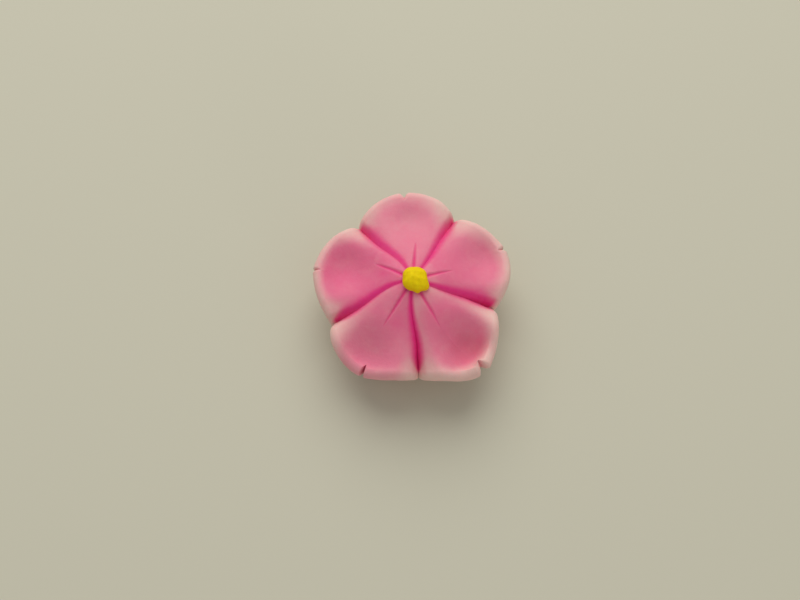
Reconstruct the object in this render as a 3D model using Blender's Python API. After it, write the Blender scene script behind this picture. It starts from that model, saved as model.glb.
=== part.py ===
# Cherry blossom sweet: a ball of tinted bean paste worked into five petals, with a yellow lump in its middle.
# Metres, +Z up, standing on z = 0, with the origin under the middle of its outline.
import math

import bmesh
import bpy
import numpy as np
from mathutils import Matrix, Vector, noise

# Five petals and five grooves, anticlockwise from the right. Petal 0 lies between groove 0 and groove 1.
# Azimuths are degrees from +X about the point where the grooves meet.
TIP_AZIMUTH = (25.8, 94.6, 167.5, 238.8, 311.3)
TIP_REACH = (0.0263, 0.0265, 0.0257, 0.0249, 0.0278)
FULL_BEFORE = (1.7, 2.15, 2.1, 3.2, 1.0)  # outline from a tip back to its groove: 1 is straight, more is fuller
FULL_AFTER = (1.2, 1.85, 1.0, 0.97, 0.97)  # outline from a tip on to the next groove
NICK_WIDTH = (0.0016, 0.0024, 0.0012, 0.0014, 0.0036)  # cut in each tip
NICK_DEPTH = (0.0010, 0.0013, 0.0008, 0.0020, 0.0030)
VEIN_AZIMUTH = (20.3, 85.8, 148.0, 235.5, 302.5)
VEIN_END = (0.0107, 0.0113, 0.0109, 0.0127, 0.0128)
MIDDLE_BEND, MIDDLE_BEND_LENGTH = 0.35, 0.5  # where a petal's middle line turns from its vein to its tip
GROOVE_AZIMUTH = (-11.2, 60.8, 128.2, 202.2, 274.2)
GROOVE_START = (-16.4, 54.9, 117.0, 190.4, 262.4)  # azimuth in the middle, from where a groove bends
GROOVE_BEND_END = 0.7  # share of the way out where it has bent
GROOVE_REACH = (0.0213, 0.0228, 0.0223, 0.0218, 0.0218)
GROOVE_DIP = (0.0008, 0.0002, 0.0002, 0.0002, 0.0012)  # rounding of the outline at a groove's end
DIP_HALF = 0.0020

CROWN_HEIGHT = 0.0240  # top of the paste, under the yellow lump
LIP_HEIGHT = 0.0170  # crest of a petal's lip
DOME_ROUNDNESS = 1.2  # higher keeps the middle flatter
LIP_SHARE = 0.92  # where the crest runs, as a share of the outline's radius
LIP_ROLL = 0.0023  # height over which the lip rolls out to the widest line
FOOT_SHARE = 0.66  # flat base against the outline
FOOT_ROUNDNESS = 0.6  # 0 keeps the petals' outline in the base, 1 makes it a circle
MEAN_REACH = 0.0236
SIDE_TAPER = 2.8  # higher draws the side in more quickly under the lip

DISH_DEPTH = (0.0024, 0.0015, 0.0031, 0.0036, 0.0062)  # thumb-pressed hollow in each petal
DISH_PLACE = (0.0195, 0.0170, 0.0166, 0.0212, 0.0217)  # its middle, along the line to the tip
DISH_ASIDE = (-0.0006, -0.0011, -0.0015, -0.0022, 0.0003)  # and across that line
DISH_INWARD = (0.0128, 0.0115, 0.0130, 0.0116, 0.0132)  # how far it spreads from there
DISH_OUTWARD = (0.0098, 0.0076, 0.0100, 0.0075, 0.0052)
DISH_SIDEWAYS = (0.0088, 0.0078, 0.0094, 0.0108, 0.0098)
DISH_SQUARENESS = 2.0
DISH_EDGE = 2.7  # higher blends the hollow more softly into the petal

GROOVE_DEPTH_IN = 0.0001  # valley between two petals, in the middle and at the outline
GROOVE_DEPTH_OUT = (0.0030, 0.0027, 0.0027, 0.0030, 0.0046)
GROOVE_DEEPENING = 4.0  # higher keeps it shallow for longer
GROOVE_HALF_IN, GROOVE_HALF_OUT = 0.0012, 0.0062
GROOVE_SHARPNESS = 1.6  # 1 is a plain wedge, more rounds its shoulders
CREASE_DEPTH_IN, CREASE_DEPTH_OUT = 0.0001, 0.0022  # pressed along the bottom of the valley
CREASE_HALF_IN, CREASE_HALF_OUT = 0.0011, 0.0018
CREASE_SHARPNESS = 1.3
VEIN_DEPTH, VEIN_HALF = 0.0006, 0.0009
VEIN_POINT = 0.2  # share of its width that a vein keeps at its end
NICK_FROM = 0.85  # share of the outline's radius where a nick begins
NICK_SHARPNESS = 1.4
NICK_DROP = 0.15
NICK_FULL, NICK_FADE = 0.0050, 0.0140  # depths below the lip's crest where a nick starts to run out and ends

LUMP_PLACE = Vector((0.0005, 0.0002, 0.0))
LUMP_REACH = 0.00322
LUMP_CORNER = 0.00018  # how much squarer than round it is
LUMP_SPURS = ((-32.0, 22.0, 0.0007), (-80.0, 13.0, 0.0006))  # azimuth, half width, reach of each squeezed-out bit
LUMP_EDGE, LUMP_RISE = 0.0005, 0.0012  # heights of its widest line and of its top above that
LUMP_SIDE_FULLNESS, LUMP_TOP_FULLNESS = 0.75, 0.7  # lower is fuller
LUMP_EDGE_END = 0.15  # share of the fall over which the edge closes under the lump
LUMP_GAP = 0.0003  # keeps it clear of the paste that it sits on
LUMP_UNEVENNESS, LUMP_GRAIN = 0.0003, 700.0
LUMP_SEED = Vector((3.1, 7.4, 1.9))

PASTE_COLUMNS, PASTE_ROWS = 140, 40
LUMP_COLUMNS, LUMP_ROWS = 48, 20
TOP_END, ROLL_END, SIDE_END = 0.60, 0.75, 0.95  # where the ball's rows pass from the top to the lip, side and base


def smooth(share):
    share = np.clip(share, 0.0, 1.0)
    return share * share * (3 - 2 * share)


def mix(low, high, share):
    return low + (high - low) * share


def quarter_round(distance, half):
    """1 at distance 0, 0 from half outwards, with rounded shoulders that meet in a sharp line."""
    nearness = np.clip(1 - distance / half, 0.0, 1.0)
    return 1 - np.sqrt(1 - nearness * nearness)


class Meridians:
    """The lines down the ball. Each knows its petal, its nearer groove and its share of the way between them."""

    def __init__(self, turn):
        place = turn % 1.0 * len(TIP_AZIMUTH)
        self.number = place.astype(int) % len(TIP_AZIMUTH)
        share = place - self.number
        after = share >= 0.5
        self.aside = (1 + np.cos(2 * np.pi * share)) / 2  # crowds the lines together at the veins and the grooves
        self.near_groove = groove = np.where(after, (self.number + 1) % len(TIP_AZIMUTH), self.number)
        whole_turn = np.where(after & (groove == 0), 360.0, 0.0)
        self.groove_azimuth = np.take(GROOVE_AZIMUTH, groove) + whole_turn
        self.groove_start = np.take(GROOVE_START, groove) + whole_turn
        full = np.where(after, self.of_petal(FULL_AFTER), self.of_petal(FULL_BEFORE))
        reach = mix(self.of_petal(TIP_REACH), np.take(GROOVE_REACH, groove), self.aside**full)
        away = np.abs(self.azimuth(1.0) - self.groove(1.0)) * reach
        self.reach = reach - np.take(GROOVE_DIP, groove) * quarter_round(away, DIP_HALF)

    def of_petal(self, values):
        return np.take(values, self.number)

    def groove(self, out):
        return np.radians(mix(self.groove_start, self.groove_azimuth, smooth(out / GROOVE_BEND_END)))

    def middle(self, out):
        """Azimuth of the petal's middle line, which leaves the vein at its end and ends at the tip."""
        bend = smooth((out - MIDDLE_BEND) / MIDDLE_BEND_LENGTH)
        return np.radians(mix(self.of_petal(VEIN_AZIMUTH), self.of_petal(TIP_AZIMUTH), bend))

    def azimuth(self, out):
        return mix(self.middle(out), self.groove(out), self.aside)

    def nick(self, out):
        """How far the nick draws the tip in."""
        away = np.abs(self.azimuth(1.0) - self.middle(1.0)) * self.reach
        nearness = np.clip(1 - away / (self.of_petal(NICK_WIDTH) / 2), 0.0, 1.0)
        return self.of_petal(NICK_DEPTH) * nearness**NICK_SHARPNESS * smooth((out - NICK_FROM) / (1 - NICK_FROM))


def dome_height(out):
    fall = np.clip(out / LIP_SHARE, 0.0, 1.0) ** DOME_ROUNDNESS
    return mix(CROWN_HEIGHT, LIP_HEIGHT, np.sin(fall * np.pi / 2))


def dish(line, out):
    turn = line.azimuth(out) - line.middle(1.0)
    radius = line.reach * out
    along = radius * np.cos(turn) - line.of_petal(DISH_PLACE)
    along = np.abs(along) / np.where(along > 0, line.of_petal(DISH_OUTWARD), line.of_petal(DISH_INWARD))
    across = np.abs(radius * np.sin(turn) - line.of_petal(DISH_ASIDE)) / line.of_petal(DISH_SIDEWAYS)
    away = along**DISH_SQUARENESS + across**DISH_SQUARENESS
    return line.of_petal(DISH_DEPTH) * np.clip(1 - away, 0.0, 1.0) ** DISH_EDGE


def groove_drop(line, out):
    turn = np.abs(line.azimuth(out) - line.groove(out))
    distance = line.reach * out * np.sin(np.minimum(turn, np.pi / 2))
    valley = np.clip(1 - distance / mix(GROOVE_HALF_IN, GROOVE_HALF_OUT, out), 0.0, 1.0) ** GROOVE_SHARPNESS
    crease = np.clip(1 - distance / mix(CREASE_HALF_IN, CREASE_HALF_OUT, out), 0.0, 1.0) ** CREASE_SHARPNESS
    deepening = out**GROOVE_DEEPENING
    valley = valley * mix(GROOVE_DEPTH_IN, np.take(GROOVE_DEPTH_OUT, line.near_groove), deepening)
    return valley + crease * mix(CREASE_DEPTH_IN, CREASE_DEPTH_OUT, deepening)


def vein_drop(line, out):
    radius = line.reach * out
    turn = np.abs(line.azimuth(out) - np.radians(line.of_petal(VEIN_AZIMUTH)))
    taper = np.sqrt(np.clip(1 - radius / line.of_petal(VEIN_END), 0.0, 1.0))
    nearness = np.clip(1 - radius * turn / (VEIN_HALF * mix(VEIN_POINT, 1.0, taper)), 0.0, 1.0)
    return VEIN_DEPTH * taper * nearness


def top_height(line, out):
    return dome_height(out) - dish(line, out) - groove_drop(line, out) - vein_drop(line, out)


def paste_points(turn, fall):
    """Where the ball's points go. turn runs round the ball and fall from its top to its bottom, both from 0 to 1."""
    line = Meridians(turn)
    on_top, on_roll, on_side = fall <= TOP_END, fall <= ROLL_END, fall <= SIDE_END
    roll = np.clip((fall - TOP_END) / (ROLL_END - TOP_END), 0.0, 1.0) * np.pi / 2
    side = np.clip((fall - ROLL_END) / (SIDE_END - ROLL_END), 0.0, 1.0) * np.pi / 2
    out = np.where(on_top, LIP_SHARE * fall / TOP_END, mix(LIP_SHARE, 1.0, np.sin(roll)))

    lip = top_height(line, np.full_like(fall, LIP_SHARE))
    foot = FOOT_SHARE * mix(line.reach, MEAN_REACH, FOOT_ROUNDNESS)
    side_radius = mix(foot, line.reach, np.maximum(np.cos(side), 0.0) ** SIDE_TAPER)
    base_radius = foot * (1 - fall) / (1 - SIDE_END)
    radius = np.select([on_roll, on_side], [line.reach * out, side_radius], base_radius)
    top = top_height(line, np.minimum(out, LIP_SHARE))
    roll_height = lip - LIP_ROLL * (1 - np.cos(roll))
    side_height = (lip - LIP_ROLL) * (1 - np.sin(side))
    height = np.select([on_top, on_roll, on_side], [top, roll_height, side_height], 0.0)

    run_out = smooth((lip - height - NICK_FULL) / (NICK_FADE - NICK_FULL))
    nick = np.where(on_side, line.nick(out) * (1 - run_out), 0.0)
    azimuth = line.azimuth(out)
    radius = radius - nick
    return np.stack([radius * np.cos(azimuth), radius * np.sin(azimuth), height - NICK_DROP * nick], axis=-1)


def lump_points(turn, fall):
    """A flattened lump of yellow paste, a little square, with two bits squeezed out of its front edge."""
    angle = turn * math.tau
    reach = LUMP_REACH + LUMP_CORNER * np.cos(4 * (angle - math.radians(45)))
    for azimuth, half, length in LUMP_SPURS:
        away = (np.degrees(angle) - azimuth + 180) % 360 - 180
        reach = reach + length * np.exp(-((away / half) ** 2))
    radius = reach * np.sin(np.pi * fall) ** LUMP_SIDE_FULLNESS
    x, y = radius * np.cos(angle) + LUMP_PLACE.x, radius * np.sin(angle) + LUMP_PLACE.y
    seat = dome_height(np.hypot(x, y) / MEAN_REACH) + LUMP_GAP
    edge = LUMP_EDGE * (1 - smooth((fall - 0.5) / LUMP_EDGE_END))
    rise = LUMP_RISE * np.maximum(np.cos(np.pi * np.minimum(fall, 0.5)), 0.0) ** LUMP_TOP_FULLNESS
    bumps = np.array([noise.noise(Vector((px, py, 0.0)) * LUMP_GRAIN + LUMP_SEED) for px, py in zip(x, y)])
    return np.stack([x, y, seat + edge + rise + LUMP_UNEVENNESS * bumps * smooth(2 - 4 * fall)], axis=-1)


def worked_ball(name, columns, rows, points):
    """A ball of paste whose points are all moved by the given function."""
    shape = bmesh.new()
    bmesh.ops.create_uvsphere(shape, u_segments=columns, v_segments=rows, radius=1.0)
    places = np.array([vertex.co for vertex in shape.verts])
    turn = np.arctan2(places[:, 1], places[:, 0]) / math.tau
    fall = np.arccos(np.clip(places[:, 2], -1.0, 1.0)) / math.pi
    turn = np.round(turn * columns) / columns
    fall = np.round(fall * rows) / rows
    for vertex, point in zip(shape.verts, points(turn, fall)):
        vertex.co = point
    mesh = bpy.data.meshes.new(name)
    shape.to_mesh(mesh)
    shape.free()
    mesh.shade_smooth()
    ball = bpy.data.objects.new(name, mesh)
    bpy.context.scene.collection.objects.link(ball)
    return ball


def material(name, colour, roughness):
    made = bpy.data.materials.new(name)
    made.use_nodes = True
    shader = made.node_tree.nodes["Principled BSDF"]
    shader.inputs["Base Color"].default_value = (*colour, 1.0)
    shader.inputs["Roughness"].default_value = roughness
    shader.inputs["Metallic"].default_value = 0.0
    return made


def centre_outline(blossom, lump):
    """Moves both so that the blossom's outline is centred on the origin."""
    places = np.array([vertex.co for vertex in blossom.data.vertices])
    middle = (places.min(axis=0) + places.max(axis=0)) / 2
    for piece in (blossom, lump):
        piece.data.transform(Matrix.Translation((-middle[0], -middle[1], 0.0)))


def main():
    for old in list(bpy.data.objects):
        bpy.data.objects.remove(old)
    blossom = worked_ball("paste_blossom", PASTE_COLUMNS, PASTE_ROWS, paste_points)
    blossom.data.materials.append(material("pink bean paste", (0.74, 0.27, 0.34), 0.55))
    lump = worked_ball("yellow_centre", LUMP_COLUMNS, LUMP_ROWS, lump_points)
    lump.data.materials.append(material("yellow bean paste", (0.80, 0.62, 0.01), 0.6))
    centre_outline(blossom, lump)


main()
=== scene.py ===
import math

import bmesh
import bpy
import numpy as np
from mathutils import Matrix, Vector, noise


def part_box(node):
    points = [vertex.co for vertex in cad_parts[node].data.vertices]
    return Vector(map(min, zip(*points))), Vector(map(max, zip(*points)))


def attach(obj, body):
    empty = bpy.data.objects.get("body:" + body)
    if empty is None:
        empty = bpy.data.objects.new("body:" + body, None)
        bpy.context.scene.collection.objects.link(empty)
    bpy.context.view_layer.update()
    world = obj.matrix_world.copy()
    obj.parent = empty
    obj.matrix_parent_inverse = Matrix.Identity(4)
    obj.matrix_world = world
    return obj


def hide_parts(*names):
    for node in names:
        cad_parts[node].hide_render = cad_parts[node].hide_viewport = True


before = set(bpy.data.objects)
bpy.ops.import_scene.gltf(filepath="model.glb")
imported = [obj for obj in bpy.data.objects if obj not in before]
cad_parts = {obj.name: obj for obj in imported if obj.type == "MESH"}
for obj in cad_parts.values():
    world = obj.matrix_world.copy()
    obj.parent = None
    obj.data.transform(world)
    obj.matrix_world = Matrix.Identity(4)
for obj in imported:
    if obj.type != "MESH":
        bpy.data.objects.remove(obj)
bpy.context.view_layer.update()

# A cherry blossom sweet. A ball of tinted bean paste is worked into five petals: a wedge presses the
# grooves between them, a thumb hollows each one, a blade nicks each tip, and a lump of yellow paste goes in
# the middle. Lengths are metres, azimuths degrees from +X about the point where the grooves meet, and "out"
# is the share of the way from there to the outline. "turn" and "fall" are shares of the way round the ball
# and down it. Five values in a group are for the five petals or grooves, anticlockwise.

blossom = {
    "columns": 560, "rows": 176,
    "topEnd": 0.60, "rollEnd": 0.76, "sideEnd": 0.96,  # where the rows pass on to the lip, side and base
    "crownHeight": 0.0240, "lipHeight": 0.0170, "domeRoundness": 1.2,
    "lipShare": 0.92, "lipRoll": 0.0023,
    "footShare": 0.66, "footRoundness": 0.6, "meanReach": 0.0236,
    "sideTaper": 2.8,
    "waves": ((0.00016, 110.0), (0.00005, 330.0)),  # height of the hands' waves, and how many to a metre
    "wavesFull": 0.004,  # height above the base from which the waves are full
}
petals = {
    "tipAzimuth": (25.8, 94.6, 167.5, 238.8, 311.3),
    "tipReach": (0.0263, 0.0265, 0.0257, 0.0249, 0.0278),
    "fullBefore": (1.7, 2.15, 2.1, 3.2, 1.0),  # how full the outline is on either side of the tip
    "fullAfter": (1.2, 1.85, 1.0, 0.97, 0.97),
    "bendFrom": 0.35, "bendLength": 0.5,  # where a petal's middle line turns from its vein to its tip
    "nickWidth": (0.0016, 0.0024, 0.0012, 0.0014, 0.0036),
    "nickDepth": (0.0010, 0.0013, 0.0008, 0.0020, 0.0030),
    "nickFrom": 0.85, "nickSharpness": 1.4, "nickDrop": 0.15, "nickFull": 0.0050, "nickEnd": 0.0140,
    "veinAzimuth": (20.3, 85.8, 148.0, 235.5, 302.5),
    "veinEnd": (0.0107, 0.0113, 0.0109, 0.0127, 0.0128),
    "veinDepth": 0.0006, "veinHalf": 0.0009, "veinPoint": 0.2,
    "dishDepth": (0.0024, 0.0015, 0.0031, 0.0036, 0.0062),
    "dishPlace": (0.0195, 0.0170, 0.0166, 0.0212, 0.0217),
    "dishAside": (-0.0006, -0.0011, -0.0015, -0.0022, 0.0003),
    "dishInward": (0.0128, 0.0115, 0.0130, 0.0116, 0.0132),
    "dishOutward": (0.0098, 0.0076, 0.0100, 0.0075, 0.0052),
    "dishSideways": (0.0088, 0.0078, 0.0094, 0.0108, 0.0098),
    "dishSquareness": 2.0, "dishEdge": 2.7,
}
grooves = {
    "azimuth": (-11.2, 60.8, 128.2, 202.2, 274.2),
    "start": (-16.4, 54.9, 117.0, 190.4, 262.4),  # azimuth near the middle, before a groove bends
    "bendEnd": 0.7,
    "reach": (0.0213, 0.0228, 0.0223, 0.0218, 0.0218),
    "dip": (0.0008, 0.0002, 0.0002, 0.0002, 0.0012), "dipHalf": 0.0020,
    "depthIn": 0.0001, "depthOut": (0.0030, 0.0027, 0.0027, 0.0030, 0.0046), "deepening": 4.0,
    "halfIn": 0.0012, "halfOut": 0.0062, "sharpness": 1.6,
    "creaseDepth": (0.0001, 0.0022), "creaseHalf": (0.0011, 0.0018), "creaseSharpness": 1.3,
}


def smooth(share):
    share = np.clip(share, 0.0, 1.0)
    return share * share * (3 - 2 * share)


def ease(value, start, length):
    return smooth((value - start) / length)


def mix(low, high, share):
    return low + (high - low) * share


def quarterRound(distance, half):  # rounded shoulders that meet in a sharp line
    nearness = np.clip(1 - distance / half, 0.0, 1.0)
    return 1 - np.sqrt(1 - nearness * nearness)


# The lines down the ball. Each knows its petal, its nearer groove and its share of the way between them.
class Meridians:
    def __init__(self, turn):
        count = len(petals["tipAzimuth"])
        place = turn % 1.0 * count
        self.number = place.astype(int) % count
        share = place - self.number
        after = share >= 0.5
        self.aside = (1 + np.cos(2 * np.pi * share)) / 2  # crowds the lines together at veins and grooves
        self.nearGroove = np.where(after, (self.number + 1) % count, self.number)
        wholeTurn = np.where(after & (self.nearGroove == 0), 360.0, 0.0)
        self.grooveAzimuth = self.ofGroove(grooves["azimuth"]) + wholeTurn
        self.grooveStart = self.ofGroove(grooves["start"]) + wholeTurn
        full = np.where(after, self.ofPetal(petals["fullAfter"]), self.ofPetal(petals["fullBefore"]))
        reach = mix(self.ofPetal(petals["tipReach"]), self.ofGroove(grooves["reach"]), self.aside**full)
        away = np.abs(self.azimuth(1.0) - self.groove(1.0)) * reach
        self.reach = reach - self.ofGroove(grooves["dip"]) * quarterRound(away, grooves["dipHalf"])

    def ofPetal(self, values):
        return np.take(values, self.number)

    def ofGroove(self, values):
        return np.take(values, self.nearGroove)

    def groove(self, out):
        return np.radians(mix(self.grooveStart, self.grooveAzimuth, smooth(out / grooves["bendEnd"])))

    def middle(self, out):
        bend = ease(out, petals["bendFrom"], petals["bendLength"])
        return np.radians(mix(self.ofPetal(petals["veinAzimuth"]), self.ofPetal(petals["tipAzimuth"]), bend))

    def azimuth(self, out):
        return mix(self.middle(out), self.groove(out), self.aside)

    def nickShare(self):
        away = np.abs(self.azimuth(1.0) - self.middle(1.0)) * self.reach
        return np.clip(1 - away / (self.ofPetal(petals["nickWidth"]) / 2), 0.0, 1.0)

    def nick(self, out):  # how far the nick draws the tip in
        depth = self.ofPetal(petals["nickDepth"]) * self.nickShare() ** petals["nickSharpness"]
        return depth * ease(out, petals["nickFrom"], 1 - petals["nickFrom"])


def domeHeight(out):
    fall = np.clip(out / blossom["lipShare"], 0.0, 1.0) ** blossom["domeRoundness"]
    return mix(blossom["crownHeight"], blossom["lipHeight"], np.sin(fall * np.pi / 2))


def dishShare(line, out):  # 1 in the middle of a petal's hollow, 0 at its border
    turn = line.azimuth(out) - line.middle(1.0)
    radius = line.reach * out
    along = radius * np.cos(turn) - line.ofPetal(petals["dishPlace"])
    spread = np.where(along > 0, line.ofPetal(petals["dishOutward"]), line.ofPetal(petals["dishInward"]))
    across = np.abs(radius * np.sin(turn) - line.ofPetal(petals["dishAside"]))
    across = across / line.ofPetal(petals["dishSideways"])
    away = (np.abs(along) / spread) ** petals["dishSquareness"] + across ** petals["dishSquareness"]
    return np.clip(1 - away, 0.0, 1.0)


def grooveDistance(line, out, shift=0.0):
    turn = np.clip(line.azimuth(out) - line.groove(out), -np.pi / 2, np.pi / 2)
    return np.abs(line.reach * out * np.sin(turn) - shift)


def grooveDrop(line, out):  # a wide valley with a narrow crease along its bottom
    distance = grooveDistance(line, out)
    deepening = out ** grooves["deepening"]
    half = mix(grooves["halfIn"], grooves["halfOut"], out)
    valley = np.clip(1 - distance / half, 0.0, 1.0) ** grooves["sharpness"]
    valley = valley * mix(grooves["depthIn"], line.ofGroove(grooves["depthOut"]), deepening)
    crease = np.clip(1 - distance / mix(*grooves["creaseHalf"], out), 0.0, 1.0) ** grooves["creaseSharpness"]
    return valley + crease * mix(*grooves["creaseDepth"], deepening)


def veinShare(line, out, half):
    radius = line.reach * out
    turn = np.abs(line.azimuth(out) - np.radians(line.ofPetal(petals["veinAzimuth"])))
    taper = np.sqrt(np.clip(1 - radius / line.ofPetal(petals["veinEnd"]), 0.0, 1.0))
    return taper * np.clip(1 - radius * turn / (half * mix(petals["veinPoint"], 1.0, taper)), 0.0, 1.0)


def topHeight(line, out):
    dish = line.ofPetal(petals["dishDepth"]) * dishShare(line, out) ** petals["dishEdge"]
    vein = petals["veinDepth"] * veinShare(line, out, petals["veinHalf"])
    return domeHeight(out) - dish - grooveDrop(line, out) - vein


def blossomPoints(turn, fall):
    line = Meridians(turn)
    topEnd, rollEnd, sideEnd = blossom["topEnd"], blossom["rollEnd"], blossom["sideEnd"]
    lipShare, lipRoll = blossom["lipShare"], blossom["lipRoll"]
    onTop, onRoll, onSide = fall <= topEnd, fall <= rollEnd, fall <= sideEnd
    roll = np.clip((fall - topEnd) / (rollEnd - topEnd), 0.0, 1.0) * np.pi / 2
    side = np.clip((fall - rollEnd) / (sideEnd - rollEnd), 0.0, 1.0) * np.pi / 2
    out = np.where(onTop, lipShare * fall / topEnd, mix(lipShare, 1.0, np.sin(roll)))

    lip = topHeight(line, np.full_like(fall, lipShare))
    foot = blossom["footShare"] * mix(line.reach, blossom["meanReach"], blossom["footRoundness"])
    sideRadius = mix(foot, line.reach, np.maximum(np.cos(side), 0.0) ** blossom["sideTaper"])
    baseRadius = foot * (1 - fall) / (1 - sideEnd)
    radius = np.select([onRoll, onSide], [line.reach * out, sideRadius], baseRadius)
    top = topHeight(line, np.minimum(out, lipShare))
    rollHeight = lip - lipRoll * (1 - np.cos(roll))
    sideHeight = (lip - lipRoll) * (1 - np.sin(side))
    height = np.select([onTop, onRoll, onSide], [top, rollHeight, sideHeight], 0.0)

    runOut = ease(lip - height, petals["nickFull"], petals["nickEnd"] - petals["nickFull"])
    nick = np.where(onSide, line.nick(out) * (1 - runOut), 0.0)
    azimuth = line.azimuth(out)
    radius = radius - nick
    height = height - petals["nickDrop"] * nick
    points = np.stack([radius * np.cos(azimuth), radius * np.sin(azimuth), height], axis=-1)
    return points, dyeShares(line, out, side)


# The dye. A pink stain covers each petal from the middle to its hollow's rim and is rosier in the hollow.
# Beyond it the paste is pale. Magenta runs along the grooves and the veins and has spread a little there.
dye = {
    "stainPlace": (0.0148, 0.0153, 0.0169, 0.0193, 0.0178),
    "stainAside": (-0.0006, 0.0004, -0.0007, 0.0001, -0.0003),
    "stainInward": (0.0113, 0.0200, 0.0175, 0.0191, 0.0131),
    "stainOutward": (0.0094, 0.0098, 0.0077, 0.0070, 0.0060),
    "stainSideways": (0.0096, 0.0093, 0.0094, 0.0089, 0.0086),
    "stainSoftness": 0.34, "paleFrom": 0.10, "paleFade": 0.15,
    "edgePale": (1.0, 0.80, 0.85, 0.40, 0.85), "edgeFrom": 0.85, "sidePale": 0.90, "sideFade": 0.7,
    "rose": (0.55, 0.05, 0.90, 0.45, 0.50),
    "roseInner": (0.20, 0.05, 0.20, 0.30, 0.30), "innerFrom": 0.35, "innerFade": 0.45,
    "magentaInner": (0.22, 0.13, 0.05, 0.12, 0.20),
    # where the magenta has spread beside a groove: azimuth, radius, half length, half width, strength
    "patches": ((249.0, 0.0105, 0.0040, 0.0030, 0.34), (194.0, 0.0095, 0.0055, 0.0016, 0.40),
                (160.0, 0.0070, 0.0030, 0.0012, 0.32), (304.0, 0.0100, 0.0035, 0.0022, 0.28)),
    "creaseIn": 0.0004, "creaseOut": (0.0022, 0.0019, 0.0019, 0.0020, 0.0020), "creaseFull": 0.75,
    "creaseStrength": (0.97, 0.90, 0.88, 0.95, 1.0), "creaseFlatness": 2.4, "creaseEnd": 0.93,
    "creaseTaper": (0.35, 0.50, 0.45, 0.80, 0.85), "taperFrom": 0.75,
    "creaseShift": (0.0006, 0.0001, -0.0006, -0.0006, 0.0),  # the magenta lies beside the crease's bottom
    "shiftFull": 0.3, "shiftLeft": 0.4,
    "skirt": 0.0026, "skirtStrength": 0.30,
    "veinHalf": 0.0008, "veinStrength": 1.0, "veinEdge": 0.6,
    "nickStrength": (0.30, 0.30, 0.35, 0.70, 0.45), "nickFrom": 0.90, "nickFade": 0.05,
}


def dyeShares(line, out, side):
    turn = line.azimuth(out) - line.middle(1.0)
    along = line.reach * out * np.cos(turn) - line.ofPetal(dye["stainPlace"])
    along = along / np.where(along > 0, line.ofPetal(dye["stainOutward"]), line.ofPetal(dye["stainInward"]))
    across = line.reach * out * np.sin(turn) - line.ofPetal(dye["stainAside"])
    away = np.hypot(along, across / line.ofPetal(dye["stainSideways"]))
    down = smooth(side / dye["sideFade"])
    inner = 1 - ease(out, dye["innerFrom"], dye["innerFade"])

    pale = ease(away, 1 - dye["stainSoftness"], 2 * dye["stainSoftness"])
    pale = pale * ease(out, dye["paleFrom"], dye["paleFade"])
    edge = line.ofPetal(dye["edgePale"]) * ease(out, dye["edgeFrom"], 1 - dye["edgeFrom"])
    pale = np.maximum(np.maximum(pale, edge), dye["sidePale"] * down)
    hollow = np.sqrt(np.clip(1 - away**2, 0.0, 1.0))
    rose = mix(line.ofPetal(dye["roseInner"]) * inner, line.ofPetal(dye["rose"]), hollow)
    magenta = np.maximum(grooveMagenta(line, out), veinAndNickMagenta(line, out))
    magenta = np.maximum(magenta, patchMagenta(line, out, line.ofPetal(dye["magentaInner"]) * inner))
    return {"pale": pale, "rose": rose, "crease": np.clip(magenta, 0.0, 1.0) * (1 - down)}


def grooveMagenta(line, out):
    outer = ease(out, dye["taperFrom"], 1 - dye["taperFrom"])
    shift = line.ofGroove(dye["creaseShift"]) * smooth(out / dye["shiftFull"])
    distance = grooveDistance(line, out, shift * mix(1.0, dye["shiftLeft"], outer))
    widening = np.minimum(out / dye["creaseFull"], 1.0)
    half = mix(dye["creaseIn"], line.ofGroove(dye["creaseOut"]), widening)
    half = half * (1 - line.ofGroove(dye["creaseTaper"]) * outer)
    band = np.exp(-((distance / half) ** dye["creaseFlatness"]))
    skirt = dye["skirtStrength"] * np.exp(-((distance / dye["skirt"]) ** 2))
    strength = line.ofGroove(dye["creaseStrength"]) * (1 - ease(out, dye["creaseEnd"], 1 - dye["creaseEnd"]))
    return np.maximum(band, skirt) * strength


def veinAndNickMagenta(line, out):
    vein = dye["veinStrength"] * veinShare(line, out, dye["veinHalf"]) ** dye["veinEdge"]
    nick = line.ofPetal(dye["nickStrength"]) * line.nickShare() ** 2
    return np.maximum(vein, nick * ease(out, dye["nickFrom"], dye["nickFade"]))


def patchMagenta(line, out, magenta):
    azimuth, radius = line.azimuth(out), line.reach * out
    for place, middle, along, across, strength in dye["patches"]:
        turn = (azimuth - math.radians(place) + math.pi) % math.tau - math.pi
        away = np.hypot((radius * np.cos(turn) - middle) / along, radius * np.sin(turn) / across)
        magenta = np.maximum(magenta, strength * np.exp(-(away**2)) * (np.abs(turn) < math.pi / 2))
    return magenta


def rolledBall(name, columns, rows):  # a sheet wrapped round into a plain ball and closed
    shape = bmesh.new()
    bmesh.ops.create_grid(shape, x_segments=columns, y_segments=rows, size=1.0)
    for vertex in shape.verts:
        turn, fall = math.pi * (vertex.co.x + 1), math.pi * (1 - vertex.co.y) / 2
        vertex.co = (math.sin(fall) * math.cos(turn), math.sin(fall) * math.sin(turn), math.cos(fall))
    bmesh.ops.remove_doubles(shape, verts=shape.verts, dist=1e-5)
    mesh = bpy.data.meshes.new(name)
    shape.to_mesh(mesh)
    shape.free()
    return mesh


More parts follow.
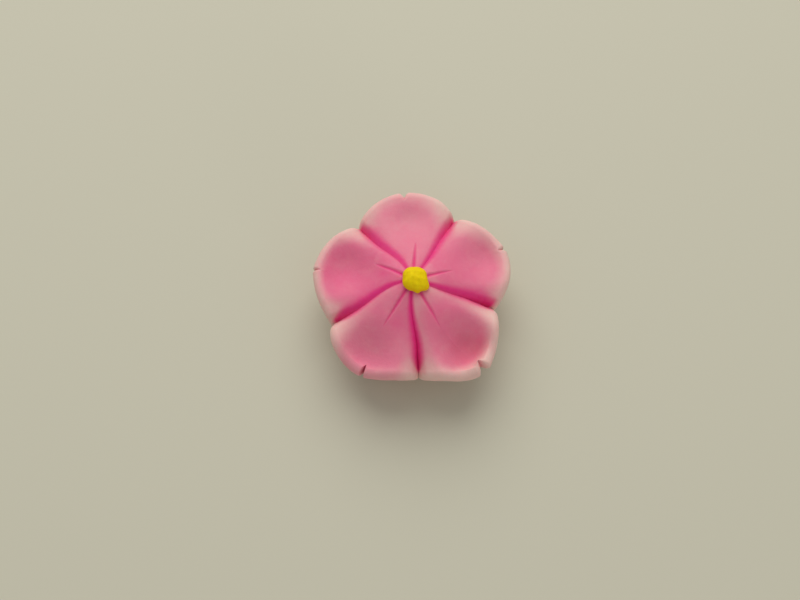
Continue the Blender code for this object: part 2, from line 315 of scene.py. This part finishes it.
def workedBall(name, columns, rows, pointsFor):  # a ball of paste whose every point the hands move
    mesh = rolledBall(name, columns, rows)
    places = np.empty(len(mesh.vertices) * 3)
    mesh.vertices.foreach_get("co", places)
    places = places.reshape(-1, 3)
    turn = np.round(np.arctan2(places[:, 1], places[:, 0]) / math.tau * columns) / columns
    fall = np.round(np.arccos(np.clip(places[:, 2], -1.0, 1.0)) / math.pi * rows) / rows
    points, shares = pointsFor(turn, fall)
    mesh.vertices.foreach_set("co", points.ravel())
    for share, values in shares.items():
        layer = mesh.attributes.new(share, "FLOAT", "POINT")
        layer.data.foreach_set("value", values)
    mesh.update()
    mesh.shade_smooth()
    ball = bpy.data.objects.new(name, mesh)
    bpy.context.scene.collection.objects.link(ball)
    return ball


def moveAlongNormals(ball, waves):  # low waves, fading out towards the base
    mesh = ball.data
    normals = [vertex.normal.copy() for vertex in mesh.vertices]
    for vertex, normal in zip(mesh.vertices, normals):
        place = vertex.co.copy()
        rise = sum(height * noise.noise(place * count) for height, count in waves)
        vertex.co = place + normal * (rise * min(1.0, place.z / blossom["wavesFull"]))
    mesh.update()


def fitToNode(ball, node, sink=0.0):  # the same place and size as the node, to a hair
    low, high = (np.array(corner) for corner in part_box(node))
    low[2] -= sink
    places = np.empty(len(ball.data.vertices) * 3)
    ball.data.vertices.foreach_get("co", places)
    places = places.reshape(-1, 3)
    least, most = places.min(axis=0), places.max(axis=0)
    places = low + (places - least) * (high - low) / (most - least)
    ball.data.vertices.foreach_set("co", places.ravel())
    ball.data.update()


# The yellow lump: flattened, a little square, with two bits squeezed out of its front edge.
lump = {
    "columns": 220, "rows": 110,
    "place": (0.0005, 0.0002), "reach": 0.00322, "corner": 0.00018,
    "spurs": ((-32.0, 22.0, 0.0007), (-80.0, 13.0, 0.0006)),  # azimuth, half width and reach
    "gap": 0.0003, "edge": 0.0005, "rise": 0.0012, "sink": 0.0004,
    "sideFullness": 0.75, "topFullness": 0.7, "edgeFade": 0.15,
    "unevenness": 0.0003, "grain": 700.0, "seed": Vector((3.1, 7.4, 1.9)),
    "bumps": ((0.00010, 700.0), (0.00002, 3000.0)),
    "rimFrom": 0.16, "rimFade": 0.30,  # where the yellow turns more orange
}


def lumpPoints(turn, fall):  # the lump is widest halfway down, and its underside follows the blossom's top
    angle = turn * math.tau
    reach = lump["reach"] + lump["corner"] * np.cos(4 * (angle - math.radians(45)))
    for azimuth, half, length in lump["spurs"]:
        away = (np.degrees(angle) - azimuth + 180) % 360 - 180
        reach = reach + length * np.exp(-((away / half) ** 2))
    radius = reach * np.sin(np.pi * fall) ** lump["sideFullness"]
    x, y = radius * np.cos(angle) + lump["place"][0], radius * np.sin(angle) + lump["place"][1]
    seat = domeHeight(np.hypot(x, y) / blossom["meanReach"]) + lump["gap"]
    edge = lump["edge"] * (1 - ease(fall, 0.5, lump["edgeFade"]))
    rise = lump["rise"] * np.maximum(np.cos(np.pi * np.minimum(fall, 0.5)), 0.0) ** lump["topFullness"]
    bumps = [noise.noise(Vector((px, py, 0.0)) * lump["grain"] + lump["seed"]) for px, py in zip(x, y)]
    height = seat + edge + rise + lump["unevenness"] * np.array(bumps) * smooth(2 - 4 * fall)
    return np.stack([x, y, height], axis=-1), {"rim": ease(fall, lump["rimFrom"], lump["rimFade"])}


# The finishes. A cloud is a noise's scale, detail and roughness.
noiseLow, noiseHigh = 0.3, 0.7  # between these lie nearly all of a noise's values

pinkPaste = {
    "pink": (0.765, 0.240, 0.325, 1.0),
    "rose": (0.745, 0.142, 0.275, 1.0),
    "pale": (0.790, 0.520, 0.472, 1.0),
    "deep": (0.765, 0.027, 0.212, 1.0), "deepFrom": 0.03,
    "paleCloud": (260.0, 4.0, 0.6), "paleMottle": 0.18,
    "roseCloud": (170.0, 3.0, 0.6), "roseMottle": 0.36,
    "deepCloud": (900.0, 3.0, 0.5), "deepMottle": 0.06,
    "softCloud": (1300.0, 2.0, 0.5), "softBump": 0.00006,
    "grainCloud": (5200.0, 3.0, 0.6), "grainBump": 0.00003,
    "roughness": (0.50, 0.62), "specular": 0.22, "refraction": 1.40,
    "subsurface": 0.18, "subsurfaceRadius": (1.0, 0.35, 0.35), "subsurfaceScale": 0.0014,
}
yellowPaste = {
    "bright": (0.820, 0.635, 0.003, 1.0),
    "rim": (0.840, 0.520, 0.003, 1.0),
    "dark": (0.740, 0.500, 0.002, 1.0), "darkShare": 0.45, "darkBelow": 0.4, "brightAbove": 0.7,
    "grainCloud": (1900.0, 3.0, 0.6),
    "bumpCloud": (3000.0, 3.0, 0.5), "bump": 0.00004,
    "roughness": (0.55, 0.70), "specular": 0.12, "refraction": 1.40,
    "subsurface": 0.12, "subsurfaceRadius": (1.0, 0.7, 0.1), "subsurfaceScale": 0.0010,
}


class NodeTree:  # short names for the few nodes that the finishes use
    def __init__(self, name):
        self.material = bpy.data.materials.new(name)
        self.material.use_nodes = True
        self.tree = self.material.node_tree
        self.shader = self.tree.nodes["Principled BSDF"]

    def add(self, kind, **settings):
        node = self.tree.nodes.new(kind)
        for setting, value in settings.items():
            setattr(node, setting, value)
        return node

    def link(self, output, target):
        self.tree.links.new(output, target)

    def cloud(self, cloud):
        node = self.add("ShaderNodeTexNoise")
        for socket, number in zip(("Scale", "Detail", "Roughness"), cloud):
            node.inputs[socket].default_value = number
        self.link(self.add("ShaderNodeTexCoord").outputs["Object"], node.inputs["Vector"])
        return node.outputs["Fac"]

    def attribute(self, name):
        return self.add("ShaderNodeAttribute", attribute_name=name).outputs["Fac"]

    def ramp(self, value, low, high, to=(0.0, 1.0)):
        node = self.add("ShaderNodeMapRange")
        for socket, number in zip(("From Min", "From Max", "To Min", "To Max"), (low, high, *to)):
            node.inputs[socket].default_value = number
        self.link(value, node.inputs["Value"])
        return node.outputs["Result"]

    def mottled(self, value, cloud, amount):
        node = self.add("ShaderNodeMath", operation="MULTIPLY_ADD")
        self.link(self.ramp(cloud, noiseLow, noiseHigh, (-0.5, 0.5)), node.inputs[0])
        node.inputs[1].default_value = amount
        self.link(value, node.inputs[2])
        return node.outputs["Value"]

    def mixColour(self, share, first, second):  # the colour sockets share their names, so they go by number
        node = self.add("ShaderNodeMix", data_type="RGBA")
        for value, socket in ((share, node.inputs[0]), (first, node.inputs[6]), (second, node.inputs[7])):
            if isinstance(value, tuple):
                socket.default_value = value
            else:
                self.link(value, socket)
        return node.outputs[2]

    def bump(self, height, distance, before=None):
        node = self.add("ShaderNodeBump")
        node.inputs["Strength"].default_value = 1.0
        node.inputs["Distance"].default_value = distance
        self.link(height, node.inputs["Height"])
        if before is not None:
            self.link(before, node.inputs["Normal"])
        return node.outputs["Normal"]

    def finish(self, colour, roughness, normal, paste):
        self.link(colour, self.shader.inputs["Base Color"])
        self.link(roughness, self.shader.inputs["Roughness"])
        self.link(normal, self.shader.inputs["Normal"])
        self.shader.inputs["Metallic"].default_value = 0.0
        self.shader.inputs["IOR"].default_value = paste["refraction"]
        self.shader.inputs["Specular IOR Level"].default_value = paste["specular"]
        self.shader.inputs["Subsurface Weight"].default_value = paste["subsurface"]
        self.shader.inputs["Subsurface Radius"].default_value = paste["subsurfaceRadius"]
        self.shader.inputs["Subsurface Scale"].default_value = paste["subsurfaceScale"]
        return self.material


def pinkFinish():
    nodes = NodeTree("tinted bean paste")
    roseCloud = nodes.cloud(pinkPaste["roseCloud"])
    paleCloud = nodes.cloud(pinkPaste["paleCloud"])
    deepCloud = nodes.cloud(pinkPaste["deepCloud"])
    rose = nodes.mottled(nodes.attribute("rose"), roseCloud, pinkPaste["roseMottle"])
    pale = nodes.mottled(nodes.attribute("pale"), paleCloud, pinkPaste["paleMottle"])
    deep = nodes.mottled(nodes.attribute("crease"), deepCloud, pinkPaste["deepMottle"])
    colour = nodes.mixColour(nodes.ramp(rose, 0.0, 1.0), pinkPaste["pink"], pinkPaste["rose"])
    colour = nodes.mixColour(nodes.ramp(pale, 0.0, 1.0), colour, pinkPaste["pale"])
    colour = nodes.mixColour(nodes.ramp(deep, pinkPaste["deepFrom"], 1.0), colour, pinkPaste["deep"])
    roughness = nodes.ramp(paleCloud, noiseLow, noiseHigh, pinkPaste["roughness"])
    soft = nodes.bump(nodes.cloud(pinkPaste["softCloud"]), pinkPaste["softBump"])
    grain = nodes.bump(nodes.cloud(pinkPaste["grainCloud"]), pinkPaste["grainBump"], soft)
    return nodes.finish(colour, roughness, grain, pinkPaste)


def yellowFinish():
    nodes = NodeTree("yellow bean paste")
    grains = nodes.cloud(yellowPaste["grainCloud"])
    darkness = (yellowPaste["darkShare"], 0.0)
    dark = nodes.ramp(grains, yellowPaste["darkBelow"], yellowPaste["brightAbove"], darkness)
    colour = nodes.mixColour(nodes.attribute("rim"), yellowPaste["bright"], yellowPaste["rim"])
    colour = nodes.mixColour(dark, colour, yellowPaste["dark"])
    roughness = nodes.ramp(grains, noiseLow, noiseHigh, yellowPaste["roughness"])
    bump = nodes.bump(nodes.cloud(yellowPaste["bumpCloud"]), yellowPaste["bump"])
    return nodes.finish(colour, roughness, bump, yellowPaste)


def makeBlossom():
    ball = workedBall("worked_blossom", blossom["columns"], blossom["rows"], blossomPoints)
    moveAlongNormals(ball, blossom["waves"])
    fitToNode(ball, "paste_blossom")
    ball.data.materials.append(pinkFinish())
    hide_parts("paste_blossom")
    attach(ball, "root")
    print("blossom:", len(ball.data.polygons), "faces")


def makeLump():
    ball = workedBall("pressed_lump", lump["columns"], lump["rows"], lumpPoints)
    moveAlongNormals(ball, lump["bumps"])
    fitToNode(ball, "yellow_centre", lump["sink"])
    ball.data.materials.append(yellowFinish())
    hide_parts("yellow_centre")
    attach(ball, "root")
    print("lump:", len(ball.data.polygons), "faces")


studio = {
    "floorSize": 3.0, "floor": (0.568, 0.552, 0.440, 1.0), "floorRoughness": 0.7, "floorDrop": 0.00005,
    "aim": (-0.00299, -0.00263, 0.010),  # what the camera and the lights point at
    "azimuth": 270.0, "elevation": 72.0, "distance": 0.300, "lens": 53.2, "sensor": 36.0, "nearest": 0.01,
    "ambient": (1.0, 0.985, 0.96, 1.0), "ambientStrength": 0.455,
    "lights": (  # name, azimuth, elevation, distance, width, energy, colour
        ("window", 94.0, 47.0, 1.2, 1.3, 10.9, (1.0, 0.98, 0.94)),
        ("far wall's glow", 300.0, 9.0, 1.2, 0.4, 1.3, (1.0, 0.98, 0.94)),
    ),
}


def fromAim(azimuth, elevation, distance):
    turn, rise = math.radians(azimuth), math.radians(elevation)
    direction = Vector((math.cos(turn) * math.cos(rise), math.sin(turn) * math.cos(rise), math.sin(rise)))
    return Vector(studio["aim"]) + distance * direction


def pointAtAim(thing, place):
    thing.location = place
    thing.rotation_euler = (Vector(studio["aim"]) - place).to_track_quat("-Z", "Y").to_euler()
    bpy.context.scene.collection.objects.link(thing)


def makeFloor():
    shape = bmesh.new()
    bmesh.ops.create_grid(shape, x_segments=1, y_segments=1, size=studio["floorSize"] / 2)
    bmesh.ops.translate(shape, vec=(0.0, 0.0, -studio["floorDrop"]), verts=shape.verts)
    mesh = bpy.data.meshes.new("floor")
    shape.to_mesh(mesh)
    shape.free()
    nodes = NodeTree("plain pale floor")
    nodes.shader.inputs["Base Color"].default_value = studio["floor"]
    nodes.shader.inputs["Roughness"].default_value = studio["floorRoughness"]
    mesh.materials.append(nodes.material)
    floor = bpy.data.objects.new("floor", mesh)
    bpy.context.scene.collection.objects.link(floor)
    print("floor:", studio["floorSize"], "m wide")


def makeLights():
    world = bpy.data.worlds.new("soft room")
    world.use_nodes = True
    world.node_tree.nodes["Background"].inputs["Color"].default_value = studio["ambient"]
    world.node_tree.nodes["Background"].inputs["Strength"].default_value = studio["ambientStrength"]
    bpy.context.scene.world = world
    for name, azimuth, elevation, distance, width, energy, colour in studio["lights"]:
        light = bpy.data.lights.new(name, "AREA")
        light.shape, light.size = "DISK", width
        light.energy, light.color = energy, colour
        pointAtAim(bpy.data.objects.new(name, light), fromAim(azimuth, elevation, distance))
    print("lights:", len(studio["lights"]))


def makeCamera():
    camera = bpy.data.objects.new("camera", bpy.data.cameras.new("camera"))
    camera.data.sensor_width = studio["sensor"]
    camera.data.lens = studio["lens"]
    camera.data.clip_start = studio["nearest"]
    pointAtAim(camera, fromAim(studio["azimuth"], studio["elevation"], studio["distance"]))
    bpy.context.scene.camera = camera
    bpy.context.scene.view_settings.view_transform = "Standard"
    print("camera:", studio["elevation"], "degrees above the floor")


makeBlossom()
makeLump()
makeFloor()
makeLights()
makeCamera()
